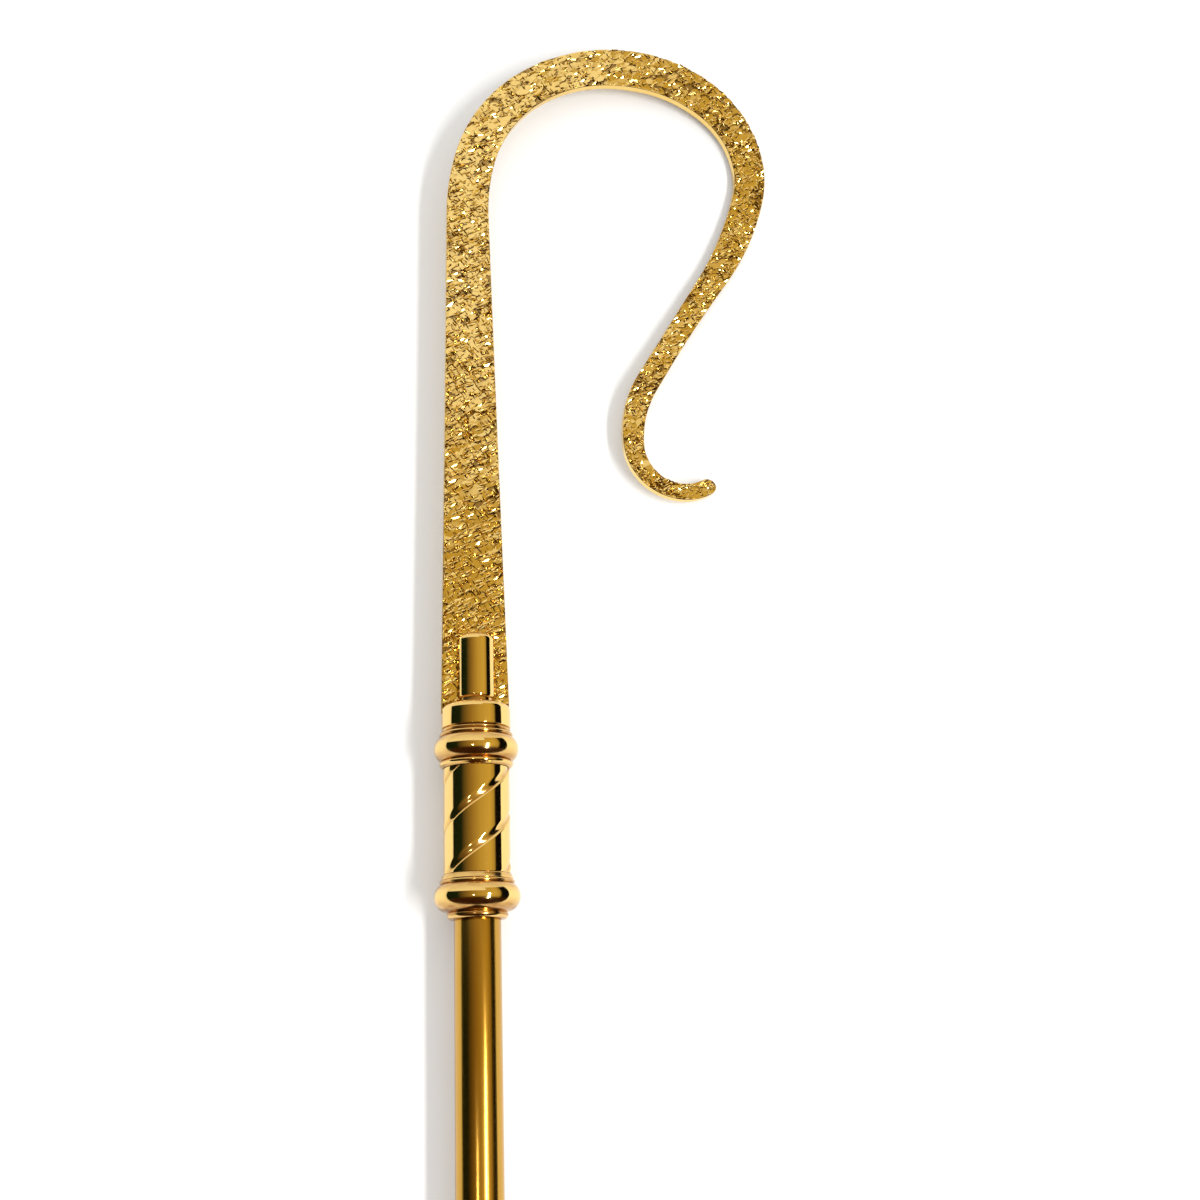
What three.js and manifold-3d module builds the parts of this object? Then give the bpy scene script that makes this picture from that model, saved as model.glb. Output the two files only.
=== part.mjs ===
// A bishop's crosier that lies at rest on a flat surface, in millimetres.
//
// Each piece is drawn in the staff's own frame: Y runs up the staff from the foot of the
// lower knop, X points the way the crook bends, and Z out of the crook's front face. The
// whole staff is then rolled and tipped until it lies on its foot, its lower knop and the
// outer edge of its crook, with the front of the crook facing up.

import * as THREE from "three";
import { mergeVertices } from "three/addons/utils/BufferGeometryUtils.js";
import Module from "manifold-3d";

const wasm = await Module();
wasm.setup();

// ---- Driving dimensions ----

const fitGap = 0.3;
const turnedFacets = 30;
const degrees = Math.PI / 180;

const pole = { radius: 11, foot: -1370, head: 10 };

const ferrule = { foot: -1375, mouth: -1338, radius: 12.6, edge: 2, ring: 0.9, step: 0.6 };

const lowerKnop = {
  socketDepth: 12,
  footRing: { radius: 14.35, height: 0, thickness: 2.05 },
  bead: { radius: 20.25, height: 8.2, thickness: 6.85 },
  neckRing: { radius: 17.6, height: 14.8, thickness: 0.95 },
  shoulder: { height: 16, radius: 17.1, top: 18.3, topRadius: 15.9 },
};

const grip = {
  foot: 18.6,
  head: 67.8,
  radius: 15.75,
  starts: 3,
  lead: 68,
  grooveAtFront: 30.7,
  grooveDepth: 0.75,
  rampWidth: 4.4,
  stepWidth: 1,
  spigotRadius: 13,
  spigotLength: 3,
  rows: 22,
};

const socket = {
  foot: 68.1,
  footRadius: 15.9,
  lip: { radius: 17.65, height: 70, thickness: 1.15 },
  bead: { radius: 20.2, height: 77.3, thickness: 6.8 },
  neckRing: { radius: 17.55, height: 83.9, thickness: 0.95 },
  grooveRadius: 15.9,
  fineRing: { radius: 16.5, height: 86.1, thickness: 0.6 },
  collar: { radius: 16.6, foot: 87.3, top: 98.6, rounding: 3 },
  neck: { radius: 8.8 },
  nose: { radius: 9.8, foot: 101, top: 133.4, footRounding: 2.2, topRounding: 3.2 },
  slotFoot: 94.4,
};

// The crook is one flat bar. Its centre line is a straight leg and a chain of arcs, each
// turning right (clockwise) where its sweep is positive, and its width changes along it.
const crook = {
  foot: 94.7,
  offset: -0.35,
  lean: 0.415,
  thickness: 4.9,
  chamfer: 0.35,
  leg: 268.3,
  arcs: [
    { radius: 132.6, sweep: 15 },
    { radius: 88.7, sweep: 83.6 },
    { radius: 70.2, sweep: 27.7 },
    { radius: 58.2, sweep: 69.1 },
    { radius: 183, sweep: 18 },
    { radius: 1760, sweep: -2.4 },
    { radius: 61, sweep: -35.2 },
    { radius: 25.7, sweep: -125.5 },
  ],
  // [distance along the centre line, width]
  widths: [
    [0, 33.1],
    [165, 26.3],
    [318, 21.2],
    [380, 21.5],
    [426, 23.6],
    [464, 23.1],
    [502, 19.4],
    [533, 17.5],
    [563, 16.8],
    [602, 13.8],
    [640, 12.6],
    [671, 12.9],
    [702, 11.4],
    [732, 9.3],
    [763, 8.8],
  ],
  legStep: 34,
  arcStep: 5 * degrees,
  longestStep: 12,
  tipSteps: 7,
};

// ---- Materials ----

function metal(name, colour, roughness) {
  return new THREE.MeshStandardMaterial({ name, color: colour, roughness, metalness: 1 });
}

const hammeredGold = metal("hammered_gold", 0xd9ab4d, 0.28);
const polishedGold = metal("polished_gold", 0xdfb257, 0.12);
const satinBrass = metal("satin_brass", 0xa9772f, 0.34);

// ---- Turned pieces ----

/** Points on a circular arc of a turned profile, as (radius, height) pairs. */
function profileArc(centreRadius, centreHeight, arcRadius, fromDegrees, toDegrees, steps) {
  return Array.from({ length: steps + 1 }, (_, i) => {
    const angle = (fromDegrees + ((toDegrees - fromDegrees) * i) / steps) * degrees;
    return [centreRadius + arcRadius * Math.cos(angle), centreHeight + arcRadius * Math.sin(angle)];
  });
}

/** The visible round of a bead or ring, from its lower to its upper limit in degrees. */
function round(ring, fromDegrees, toDegrees, steps) {
  return profileArc(ring.radius - ring.thickness, ring.height, ring.thickness, fromDegrees, toDegrees, steps);
}

function turned(profile) {
  return new THREE.LatheGeometry(
    profile.map(([radius, height]) => new THREE.Vector2(radius, height)),
    turnedFacets,
  );
}

function poleGeometry() {
  return turned([[0, pole.foot], [pole.radius, pole.foot], [pole.radius, pole.head], [0, pole.head]]);
}

/** A plain cap that takes the pole's end, with a flat foot and a ring round its mouth. */
function ferruleGeometry() {
  const { foot, mouth, radius, edge, ring, step } = ferrule;
  const bore = pole.radius + fitGap;
  return turned([
    [0, foot],
    ...profileArc(radius - edge, foot + edge, edge, -90, 0, 4),
    [radius, mouth - 2 * ring],
    ...profileArc(radius + step - ring, mouth - ring, ring, -60, 90, 5),
    [bore, mouth],
    [bore, pole.foot - fitGap],
    [0, pole.foot - fitGap],
  ]);
}

function lowerKnopGeometry() {
  const { socketDepth, footRing, bead, neckRing, shoulder } = lowerKnop;
  const bore = pole.radius + fitGap;
  const poleSeat = pole.head + fitGap;
  const spigotBore = grip.spigotRadius + fitGap;
  const spigotSeat = grip.foot - grip.spigotLength - fitGap;
  const socketMouth = poleSeat - socketDepth;
  return turned([
    [0, poleSeat],
    [bore, poleSeat],
    [bore, socketMouth],
    ...round(footRing, -85, 35, 6),
    ...round(bead, -68, 66, 11),
    ...round(neckRing, -65, 75, 5),
    [shoulder.radius, shoulder.height],
    [shoulder.topRadius, shoulder.top],
    [spigotBore, shoulder.top],
    [spigotBore, spigotSeat],
    [0, spigotSeat],
  ]);
}

/** The socket that holds the crook, before its slot is cut. */
function socketBlank() {
  const { foot, footRadius, lip, bead, neckRing, grooveRadius, fineRing, collar, neck, nose } = socket;
  const spigotBore = grip.spigotRadius + fitGap;
  const spigotSeat = grip.head + grip.spigotLength + fitGap;
  const noseStart = -Math.acos((neck.radius - nose.radius + nose.footRounding) / nose.footRounding) / degrees;
  return turned([
    [0, spigotSeat],
    [spigotBore, spigotSeat],
    [spigotBore, foot],
    [footRadius, foot],
    ...round(lip, -70, 60, 5),
    ...round(bead, -64, 66, 11),
    ...round(neckRing, -65, 60, 4),
    [grooveRadius, neckRing.height + neckRing.thickness],
    ...round(fineRing, -60, 60, 3),
    [grooveRadius, collar.foot - fitGap],
    [collar.radius, collar.foot],
    ...profileArc(collar.radius - collar.rounding, collar.top - collar.rounding, collar.rounding, 0, 90, 5),
    [neck.radius, collar.top],
    ...profileArc(nose.radius - nose.footRounding, nose.foot + nose.footRounding, nose.footRounding, noseStart, 0, 3),
    ...profileArc(nose.radius - nose.topRounding, nose.top - nose.topRounding, nose.topRounding, 0, 90, 5),
    [0, nose.top],
  ]);
}

// ---- Joining and cutting ----

/** A closed geometry as a solid that can be joined to another or cut by it. */
function solid(geometry) {
  const bare = geometry.clone();
  bare.deleteAttribute("normal");
  bare.deleteAttribute("uv");
  const merged = mergeVertices(bare, 1e-4);
  const corners = merged.index.array;
  const triangles = [];
  for (let i = 0; i < corners.length; i += 3) {
    const [a, b, c] = corners.slice(i, i + 3);
    if (a !== b && b !== c && c !== a) triangles.push(a, b, c);
  }
  const mesh = new wasm.Mesh({
    numProp: 3,
    vertProperties: new Float32Array(merged.attributes.position.array),
    triVerts: new Uint32Array(triangles),
  });
  return new wasm.Manifold(mesh);
}

function geometryOf(manifold) {
  const mesh = manifold.getMesh();
  const geometry = new THREE.BufferGeometry();
  geometry.setAttribute("position", new THREE.BufferAttribute(new Float32Array(mesh.vertProperties), 3));
  geometry.setIndex(new THREE.BufferAttribute(new Uint32Array(mesh.triVerts), 1));
  return geometry;
}

/** The socket with its slot, open at the top and at both sides, in which the crook stands. */
function socketGeometry() {
  const slotHeight = 2 * (socket.nose.top - socket.slotFoot);
  const slot = new THREE.BoxGeometry(4 * socket.collar.radius, slotHeight, crook.thickness + 2 * fitGap);
  slot.translate(0, socket.slotFoot + slotHeight / 2, 0);
  return geometryOf(solid(socketBlank()).subtract(solid(slot)));
}

// ---- Twisted grip ----

/** Depth of the grip's surface, by height above the nearest groove below it. */
function grooveDepthAt(rise) {
  const { grooveDepth, rampWidth, stepWidth, lead, starts } = grip;
  const pitch = lead / starts;
  if (rise < rampWidth) return grooveDepth * (0.5 + 0.5 * Math.cos((Math.PI * rise) / rampWidth));
  if (rise > pitch - stepWidth) return (grooveDepth * (rise - pitch + stepWidth)) / stepWidth;
  return 0;
}

/** One section of the grip, with a groove for each start, twisted as it is drawn upward. */
function gripGeometry() {
  const { foot, head, radius, starts, lead, grooveAtFront, rampWidth, stepWidth } = grip;
  const pitch = lead / starts;
  const plain = pitch - rampWidth - stepWidth;
  const rises = [
    ...[0, 0.25, 0.5, 0.75, 1].map((part) => part * rampWidth),
    ...[0.12, 0.24, 0.36, 0.48, 0.6, 0.72, 0.84, 1].map((part) => rampWidth + part * plain),
    pitch - stepWidth / 2,
  ];
  const section = new THREE.Shape();
  for (let start = 0; start < starts; start += 1) {
    for (const rise of rises) {
      // A point that lies higher above the groove lies further back round the section.
      const turn = (-2 * Math.PI * (start * pitch + rise)) / lead;
      const reach = radius - grooveDepthAt(rise);
      const [x, y] = [reach * Math.cos(turn), reach * Math.sin(turn)];
      if (start === 0 && rise === 0) section.moveTo(x, y);
      else section.lineTo(x, y);
    }
  }
  const height = head - foot;
  const body = new THREE.ExtrudeGeometry(section, { depth: height, steps: grip.rows, bevelEnabled: false });
  const points = body.attributes.position;
  for (let i = 0; i < points.count; i += 1) {
    const [x, y, rise] = [points.getX(i), points.getY(i), points.getZ(i)];
    const reach = Math.hypot(x, y);
    const turn = Math.atan2(y, x) + (2 * Math.PI * (foot + rise - grooveAtFront)) / lead;
    points.setXYZ(i, reach * Math.sin(turn), foot + rise, reach * Math.cos(turn));
  }
  const spigots = new THREE.CylinderGeometry(
    grip.spigotRadius,
    grip.spigotRadius,
    height + 2 * grip.spigotLength,
    turnedFacets,
  );
  spigots.translate(0, (foot + head) / 2, 0);
  return geometryOf(solid(body).add(solid(spigots)));
}

// ---- Crook ----

/** The crook's width at a distance along its centre line, with smooth changes between the sizes. */
function crookWidth(distance) {
  const { widths } = crook;
  const next = widths.findIndex(([station]) => station > distance);
  if (next < 1) return widths[next === 0 ? 0 : widths.length - 1][1];
  const [[from, narrow], [to, wide]] = [widths[next - 1], widths[next]];
  const slopeAt = (i) => {
    const [low, high] = [widths[Math.max(i - 1, 0)], widths[Math.min(i + 1, widths.length - 1)]];
    return (high[1] - low[1]) / (high[0] - low[0]);
  };
  const span = to - from;
  const t = (distance - from) / span;
  return (
    narrow * (1 + 2 * t) * (1 - t) ** 2 +
    wide * t ** 2 * (3 - 2 * t) +
    span * (slopeAt(next - 1) * t * (1 - t) ** 2 + slopeAt(next) * t ** 2 * (t - 1))
  );
}

/** Stations along the crook's centre line, each with its place, heading and distance. */
function crookStations() {
  const heading = Math.PI / 2 + crook.lean * degrees;
  const at = { x: crook.offset, y: crook.foot, heading, distance: 0 };
  const stations = [{ ...at }];
  const legSteps = Math.ceil(crook.leg / crook.legStep);
  for (let i = 0; i < legSteps; i += 1) {
    const step = crook.leg / legSteps;
    at.x += step * Math.cos(at.heading);
    at.y += step * Math.sin(at.heading);
    at.distance += step;
    stations.push({ ...at });
  }
  for (const { radius, sweep } of crook.arcs) {
    const angle = Math.abs(sweep) * degrees;
    const steps = Math.ceil(Math.max(angle / crook.arcStep, (angle * radius) / crook.longestStep));
    const turn = (-sweep * degrees) / steps;
    const chord = 2 * radius * Math.sin(Math.abs(turn) / 2);
    for (let i = 0; i < steps; i += 1) {
      at.x += chord * Math.cos(at.heading + turn / 2);
      at.y += chord * Math.sin(at.heading + turn / 2);
      at.heading += turn;
      at.distance += (angle * radius) / steps;
      stations.push({ ...at });
    }
  }
  return stations;
}

/** The crook's outline, up its outer side, round the tip and back along its inner side. */
function crookOutline() {
  const stations = crookStations();
  const end = stations.at(-1);
  const tipRadius = crookWidth(end.distance) / 2;
  const tipCentre = {
    x: end.x - tipRadius * Math.cos(end.heading),
    y: end.y - tipRadius * Math.sin(end.heading),
  };
  const bar = stations.filter(({ distance }) => distance < end.distance - tipRadius);
  const side = (sign) =>
    bar.map(({ x, y, heading, distance }) => {
      const reach = (sign * crookWidth(distance)) / 2;
      return new THREE.Vector2(x - reach * Math.sin(heading), y + reach * Math.cos(heading));
    });
  const tip = Array.from({ length: crook.tipSteps + 1 }, (_, i) => {
    const angle = end.heading + Math.PI / 2 - (Math.PI * i) / crook.tipSteps;
    return new THREE.Vector2(
      tipCentre.x + tipRadius * Math.cos(angle),
      tipCentre.y + tipRadius * Math.sin(angle),
    );
  });
  return [...side(1), ...tip, ...side(-1).reverse()];
}

function crookGeometry(outline) {
  const { thickness, chamfer } = crook;
  const bar = new THREE.ExtrudeGeometry(new THREE.Shape(outline), {
    depth: thickness - 2 * chamfer,
    bevelEnabled: true,
    bevelThickness: chamfer,
    bevelSize: chamfer,
    bevelOffset: -chamfer,
    bevelSegments: 1,
  });
  bar.translate(0, 0, chamfer - thickness / 2);
  return bar;
}

// ---- The staff, lying down ----

/** Roll and tip that rest the staff on its foot, its lower knop and the edge of its crook. */
function restingPose(outline) {
  const footRadius = ferrule.radius + ferrule.step;
  const footHeight = ferrule.mouth - ferrule.ring;
  const { bead } = lowerKnop;
  const tip = Math.atan((bead.radius - footRadius) / (bead.height - footHeight));
  const edge = outline.reduce((widest, point) => (point.x > widest.x ? point : widest));
  const axisHeight = bead.radius + (edge.y - bead.height) * Math.tan(tip);
  const reach = edge.x - crook.chamfer;
  const halfThickness = crook.thickness / 2;
  const roll = Math.asin(axisHeight / Math.hypot(reach, halfThickness)) - Math.atan2(halfThickness, reach);
  return { roll, tip };
}

function piece(name, geometry, material, turn = 0) {
  const mesh = new THREE.Mesh(geometry, material);
  mesh.name = name;
  mesh.rotation.y = turn;
  return mesh;
}

const outline = crookOutline();
const { roll, tip } = restingPose(outline);

// The pieces that touch the surface are turned so that a corner of their facets meets it.
const staff = new THREE.Group();
staff.add(
  piece("crook", crookGeometry(outline), hammeredGold),
  piece("crook_socket", socketGeometry(), polishedGold),
  piece("twisted_grip", gripGeometry(), polishedGold),
  piece("lower_knop", lowerKnopGeometry(), polishedGold, -roll),
  piece("pole", poleGeometry(), satinBrass),
  piece("foot_ferrule", ferruleGeometry(), polishedGold, -roll),
);
staff.rotation.set(tip, roll, 0, "XYZ");
staff.updateMatrixWorld(true);

// The origin is the middle of the lying staff's extent, on the surface that it lies on.
const extent = new THREE.Box3().setFromObject(staff, true);
const middle = extent.getCenter(new THREE.Vector3());
staff.position.set(-middle.x, -middle.y, -extent.min.z);

const crosier = new THREE.Group();
crosier.name = "bishop_crosier";
crosier.add(staff);

export default crosier;
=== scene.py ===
"""A bishop's crosier lying at rest: the looks of its six pieces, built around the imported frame.

Every piece is drawn in the staff's own frame, in millimetres: Y runs up the staff from the foot
of the lower knop, X points the way the crook bends, and Z out of the crook's front face. The
resting pose then lays the pieces down in the frame's metres.
"""

import logging
import math
from dataclasses import dataclass, field
from enum import Enum
from typing import Any

import bmesh
import bpy
import numpy as np
from mathutils import Matrix, Vector


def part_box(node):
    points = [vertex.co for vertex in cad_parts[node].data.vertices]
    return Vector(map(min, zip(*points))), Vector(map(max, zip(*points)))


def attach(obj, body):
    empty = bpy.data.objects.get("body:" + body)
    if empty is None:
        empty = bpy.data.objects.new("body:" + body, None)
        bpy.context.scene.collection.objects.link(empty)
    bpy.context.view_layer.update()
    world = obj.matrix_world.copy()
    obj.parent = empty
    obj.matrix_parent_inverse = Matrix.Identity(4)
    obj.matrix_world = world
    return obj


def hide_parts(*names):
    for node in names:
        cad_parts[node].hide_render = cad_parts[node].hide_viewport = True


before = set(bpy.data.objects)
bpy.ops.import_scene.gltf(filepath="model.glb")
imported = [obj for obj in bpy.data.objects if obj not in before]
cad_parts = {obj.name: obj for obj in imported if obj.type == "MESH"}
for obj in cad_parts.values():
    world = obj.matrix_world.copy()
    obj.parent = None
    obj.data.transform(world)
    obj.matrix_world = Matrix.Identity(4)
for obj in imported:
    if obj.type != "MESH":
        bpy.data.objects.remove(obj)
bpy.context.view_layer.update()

log = logging.getLogger("crosier")

MM = 0.001
FIT_GAP = 0.1

Colour = tuple[float, float, float]
Profile = list[tuple[float, float]]


# ---- Node trees ----


class Wiring:
    """Adds nodes to a tree and joins them in the order in which their sums are written."""

    def __init__(self, tree: bpy.types.NodeTree) -> None:
        """Keeps the tree that the nodes go into."""
        self.tree = tree

    def feed(self, socket: bpy.types.NodeSocket, value: Any) -> None:
        """Joins a socket to another socket, or sets its value."""
        if isinstance(value, bpy.types.NodeSocket):
            self.tree.links.new(value, socket)
        else:
            socket.default_value = value

    def node(self, kind: str, inputs: dict[str, Any] | None = None, **settings: Any) -> bpy.types.Node:
        """Adds a node.

        Args:
            kind: The node's type.
            inputs: What its named inputs are fed with, sockets or values.
            settings: The node's own options.

        Returns:
            The node.
        """
        made = self.tree.nodes.new(kind)
        for name, value in settings.items():
            setattr(made, name, value)
        for name, value in (inputs or {}).items():
            self.feed(next(s for s in made.inputs if s.enabled and s.name == name), value)
        return made

    def math(self, operation: str, *terms: Any, clamp: bool = False) -> bpy.types.NodeSocket:
        """A sum of numbers.

        Args:
            operation: The kind of sum, such as "ADD".
            terms: Sockets or numbers.
            clamp: Whether the result is held between 0 and 1.

        Returns:
            The result's socket.
        """
        made = self.node("ShaderNodeMath", operation=operation, use_clamp=clamp)
        for socket, term in zip(made.inputs, terms):
            self.feed(socket, term)
        return made.outputs[0]

    def vector(self, operation: str, *terms: Any) -> bpy.types.NodeSocket:
        """A sum of vectors, as math() is of numbers."""
        made = self.node("ShaderNodeVectorMath", operation=operation)
        for socket, term in zip(made.inputs, terms):
            self.feed(socket, term)
        return made.outputs[0]

    def combine(self, x: Any, y: Any, z: Any) -> bpy.types.NodeSocket:
        """A vector from its three parts."""
        return self.node("ShaderNodeCombineXYZ", {"X": x, "Y": y, "Z": z}).outputs[0]

    def separate(self, vector: Any) -> tuple[bpy.types.NodeSocket, ...]:
        """The three parts of a vector."""
        return tuple(self.node("ShaderNodeSeparateXYZ", {"Vector": vector}).outputs)

    def ramp(self, value: Any, low: float, high: float, start: float = 0.0, end: float = 1.0,
             smooth: bool = False) -> bpy.types.NodeSocket:
        """A number carried from one range to another.

        Args:
            value: The number's socket.
            low: The first range's start.
            high: The first range's end.
            start: What low becomes.
            end: What high becomes.
            smooth: Whether the change eases in and out.

        Returns:
            The result's socket.
        """
        sizes = {"Value": value, "From Min": low, "From Max": high, "To Min": start, "To Max": end}
        kind = "SMOOTHSTEP" if smooth else "LINEAR"
        return self.node("ShaderNodeMapRange", sizes, interpolation_type=kind).outputs[0]

    def blend(self, share: Any, first: Any, second: Any) -> bpy.types.NodeSocket:
        """A mix of two colours.

        Args:
            share: How much of the second there is, from 0 to 1.
            first: One colour.
            second: The other colour.

        Returns:
            The mixed colour.
        """
        made = self.tree.nodes.new("ShaderNodeMix")
        made.data_type = "RGBA"
        for index, value in ((0, share), (6, first), (7, second)):
            self.feed(made.inputs[index], (*value, 1.0) if isinstance(value, tuple) else value)
        return made.outputs[2]


class ShapeTree(Wiring):
    """A Geometry Nodes tree with named sizes, which ends as one real mesh in one material."""

    def __init__(self, name: str, sizes: dict[str, float], material: bpy.types.Material) -> None:
        """Makes the tree's inputs.

        Args:
            name: The tree's name.
            sizes: Its named inputs and the values that they are given.
            material: What its faces are made of.
        """
        super().__init__(bpy.data.node_groups.new(name, "GeometryNodeTree"))
        self.material = material
        self.sizes = sizes
        face = self.tree.interface
        face.new_socket("Geometry", in_out="INPUT", socket_type="NodeSocketGeometry")
        for label in sizes:
            face.new_socket(label, in_out="INPUT", socket_type="NodeSocketFloat")
        face.new_socket("Geometry", in_out="OUTPUT", socket_type="NodeSocketGeometry")
        self.given = self.tree.nodes.new("NodeGroupInput").outputs

    def close(self, geometry: bpy.types.NodeSocket) -> None:
        """Ends the tree with real faces in its material."""
        real = self.node("GeometryNodeRealizeInstances", {"Geometry": geometry})
        sizes = {"Geometry": real.outputs[0], "Material": self.material}
        dressed = self.node("GeometryNodeSetMaterial", sizes)
        self.tree.links.new(dressed.outputs[0], self.tree.nodes.new("NodeGroupOutput").inputs[0])

    def grow(self, name: str, seed: bpy.types.Mesh) -> bpy.types.Mesh:
        """Runs the tree on a mesh.

        Args:
            name: The new mesh's name.
            seed: The mesh that the tree starts from.

        Returns:
            The result as a plain mesh.
        """
        holder = bpy.data.objects.new(name, seed)
        bpy.context.scene.collection.objects.link(holder)
        modifier = holder.modifiers.new(self.tree.name, "NODES")
        modifier.node_group = self.tree
        sockets = {s.name: s.identifier for s in self.tree.interface.items_tree if s.in_out == "INPUT"}
        for label, size in self.sizes.items():
            modifier[sockets[label]] = float(size)
        graph = bpy.context.evaluated_depsgraph_get()
        grown = bpy.data.meshes.new_from_object(holder.evaluated_get(graph))
        holder.modifiers.remove(modifier)
        bpy.data.objects.remove(holder)
        grown.name = name
        return grown


# ---- Finishes ----


@dataclass(frozen=True)
class Finish:
    """What every metal finish shares: a colour that drifts, a dark colour for painted shade in hollows and for
    brushing streaks, and a body of pure metal.
    """

    name: str
    colour: Colour
    deep: Colour
    shade_and_streak: Colour
    roughness: float

    def made(self) -> bpy.types.Material:
        """The finish's material, once it is built."""
        return bpy.data.materials[f"{self.name}_finish"]

    def surface(self) -> tuple[bpy.types.Material, Wiring, bpy.types.Node, bpy.types.NodeSocket]:
        """Starts the material.

        Returns:
            The material, its wiring, its shader and its place on the object.
        """
        material = bpy.data.materials.new(f"{self.name}_finish")
        material.use_nodes = True
        material.node_tree.nodes.clear()
        wiring = Wiring(material.node_tree)
        shader = wiring.node("ShaderNodeBsdfPrincipled", {"Metallic": 1.0})
        wiring.node("ShaderNodeOutputMaterial", {"Surface": shader.outputs[0]})
        place = wiring.node("ShaderNodeTexCoord").outputs["Object"]
        return material, wiring, shader, place

    def noise(self, wiring: Wiring, place: Any, scale: float, detail: float = 3.0) -> bpy.types.NodeSocket:
        """Soft random patches.

        Args:
            wiring: The material's wiring.
            place: Where on the piece.
            scale: Patches to the metre.
            detail: How many finer octaves they have.

        Returns:
            A number from 0 to 1.
        """
        sizes = {"Vector": place, "Scale": scale, "Detail": detail}
        return wiring.node("ShaderNodeTexNoise", sizes).outputs[0]

    def stretched(self, wiring: Wiring, place: Any, scale: tuple[float, float, float]) -> bpy.types.NodeSocket:
        """The place with each axis stretched, for marks longer one way than the other."""
        return wiring.vector("MULTIPLY", place, scale)

    def attribute(self, wiring: Wiring, name: str) -> bpy.types.NodeSocket:
        """A number that the mesh carries at each point."""
        return wiring.node("ShaderNodeAttribute", attribute_name=name).outputs["Fac"]

    def bumped(self, wiring: Wiring, shader: bpy.types.Node, height: Any, strength: float, lift: float) -> None:
        """Raises fine detail on the shader.

        Args:
            wiring: The material's wiring.
            shader: The shader that gets the detail.
            height: How high each place stands, from 0 to 1.
            strength: How much of the detail shows.
            lift: The height of a full 1, in metres.
        """
        sizes = {"Height": height, "Strength": strength, "Distance": lift}
        wiring.feed(shader.inputs["Normal"], wiring.node("ShaderNodeBump", sizes).outputs[0])


@dataclass(frozen=True)
class PolishedGold(Finish):
    """Gilt metal polished on the lathe: faint turning lines, slow waves, painted shade in its grooves."""

    def build(self) -> bpy.types.Material:
        """Makes the material."""
        material, wiring, shader, place = self.surface()
        recess_shade = self.attribute(wiring, "recess_shade")
        patches = self.noise(wiring, place, 45.0)
        smears = self.noise(wiring, self.stretched(wiring, place, (1.0, 4.0, 1.0)), 160.0)
        tint = wiring.blend(wiring.ramp(patches, 0.35, 0.7, 0.0, 0.5), self.colour, self.deep)
        # Painted shade: the recesses between the rings and the grip's grooves are darkened towards the dark
        # colour, broken up by the smears, and made a little rougher.
        recess_shade_mask = wiring.math("MULTIPLY", recess_shade, wiring.ramp(smears, 0.25, 0.75, 0.35, 0.95))
        wiring.feed(shader.inputs["Base Color"], wiring.blend(recess_shade_mask, tint, self.shade_and_streak))
        haze = wiring.ramp(smears, 0.3, 0.8, self.roughness, self.roughness + 0.05)
        wiring.feed(shader.inputs["Roughness"], wiring.math("MULTIPLY_ADD", recess_shade_mask, 0.2, haze))
        waves = self.noise(wiring, place, 110.0, 1.0)
        turning = self.noise(wiring, self.stretched(wiring, place, (40.0, 2600.0, 40.0)), 1.0, 1.0)
        height = wiring.math("MULTIPLY_ADD", turning, 0.004, waves)
        self.bumped(wiring, shader, height, 1.0, 0.00004)
        return material


@dataclass(frozen=True)
class SatinBrass(Finish):
    """Lacquered brass tube, brushed along its length."""

    def build(self) -> bpy.types.Material:
        """Makes the material."""
        material, wiring, shader, place = self.surface()
        patches = self.noise(wiring, self.stretched(wiring, place, (1.0, 0.35, 1.0)), 60.0)
        streaks = self.noise(wiring, self.stretched(wiring, place, (3200.0, 22.0, 3200.0)), 1.0, 2.0)
        tint = wiring.blend(wiring.ramp(patches, 0.3, 0.7, 0.0, 0.7), self.colour, self.deep)
        brushed = wiring.blend(wiring.ramp(streaks, 0.45, 0.75, 0.0, 0.35), tint, self.shade_and_streak)
        wiring.feed(shader.inputs["Base Color"], brushed)
        rough = wiring.ramp(streaks, 0.25, 0.8, self.roughness - 0.03, self.roughness + 0.07)
        wiring.feed(shader.inputs["Roughness"], rough)
        self.bumped(wiring, shader, streaks, 0.35, 0.00002)
        return material


@dataclass(frozen=True)
class HammeredGold(Finish):
    """Bright gilt over chiselled metal, with painted brown shade down in the cuts."""

    def build(self) -> bpy.types.Material:
        """Makes the material."""
        material, wiring, shader, place = self.surface()
        cut_shade = self.attribute(wiring, "cut_shade")
        patches = self.noise(wiring, place, 50.0)
        grain = self.noise(wiring, place, 1400.0, 2.0)
        tint = wiring.blend(wiring.ramp(patches, 0.35, 0.65, 0.0, 0.6), self.colour, self.deep)
        # Painted shade: the cuts between the chips are darkened towards brown, most on the bare face, broken up
        # by the grain, and made a little rougher.
        cut_shade_share = wiring.ramp(cut_shade, 0.35, 0.85, 0.0, 0.9)
        cut_shade_mask = wiring.math("MULTIPLY", cut_shade_share, wiring.ramp(grain, 0.2, 0.8, 0.5, 1.0))
        wiring.feed(shader.inputs["Base Color"], wiring.blend(cut_shade_mask, tint, self.shade_and_streak))
        wiring.feed(shader.inputs["Roughness"], wiring.math("MULTIPLY_ADD", cut_shade_mask, 0.15, self.roughness))
        self.bumped(wiring, shader, grain, 0.12, 0.00006)
        return material


@dataclass(frozen=True)
class PaleFloor(Finish):
    """A smooth matt surface, nearly white."""

    def build(self) -> bpy.types.Material:
        """Makes the material."""
        material, wiring, shader, place = self.surface()
        shader.inputs["Metallic"].default_value = 0.0
        shader.inputs["Roughness"].default_value = self.roughness
        shader.inputs["Specular IOR Level"].default_value = 0.1
        patches = self.noise(wiring, place, 3.0)
        wiring.feed(shader.inputs["Base Color"], wiring.blend(patches, self.colour, self.deep))
        return material


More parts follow.
